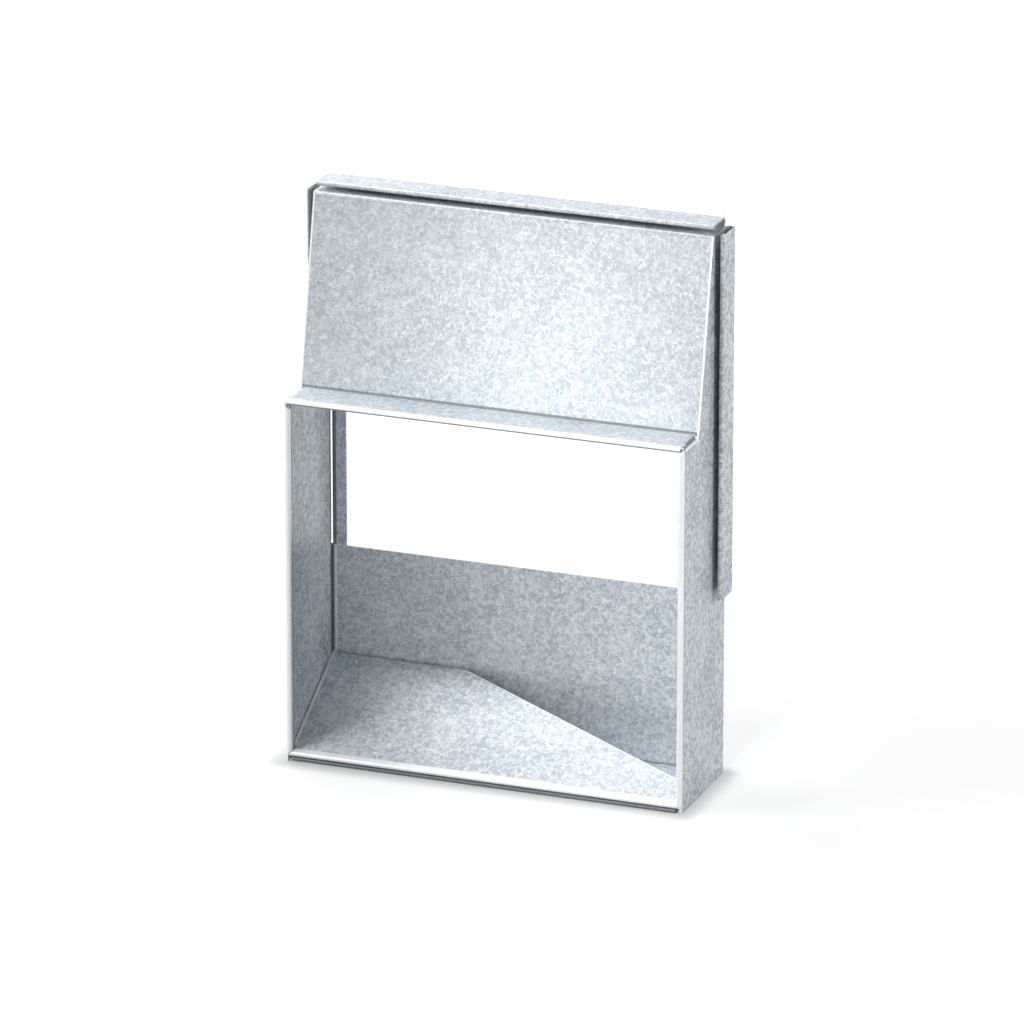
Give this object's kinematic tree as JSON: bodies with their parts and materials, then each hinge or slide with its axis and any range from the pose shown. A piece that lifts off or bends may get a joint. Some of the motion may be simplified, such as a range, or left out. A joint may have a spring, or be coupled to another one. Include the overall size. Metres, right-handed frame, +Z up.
{
  "type": "rectangular duct offset",
  "caption": "Flat rectangular duct offset of folded galvanised sheet: a low open mouth leads over a sloping guide plate to a raised rear collar with pocketed edges.",
  "frame": {"origin": "middle of the footprint, on the surface that the part stands on", "axes": "+Z up along the height, +Y from the open mouth to the rear collar, +X across the duct to the right as seen from the mouth"},
  "size_m": [0.23, 0.065, 0.305],
  "materials": {
    "galvanised_sheet": "hot-dip galvanised, fine spangle, satin"
  },
  "bodies": {
    "root": {"left_cheek": "galvanised_sheet", "right_cheek": "galvanised_sheet", "hood_panel": "galvanised_sheet", "guide_plate": "galvanised_sheet", "rear_panel": "galvanised_sheet", "base_panel": "galvanised_sheet"}
  },
  "joints": []
}
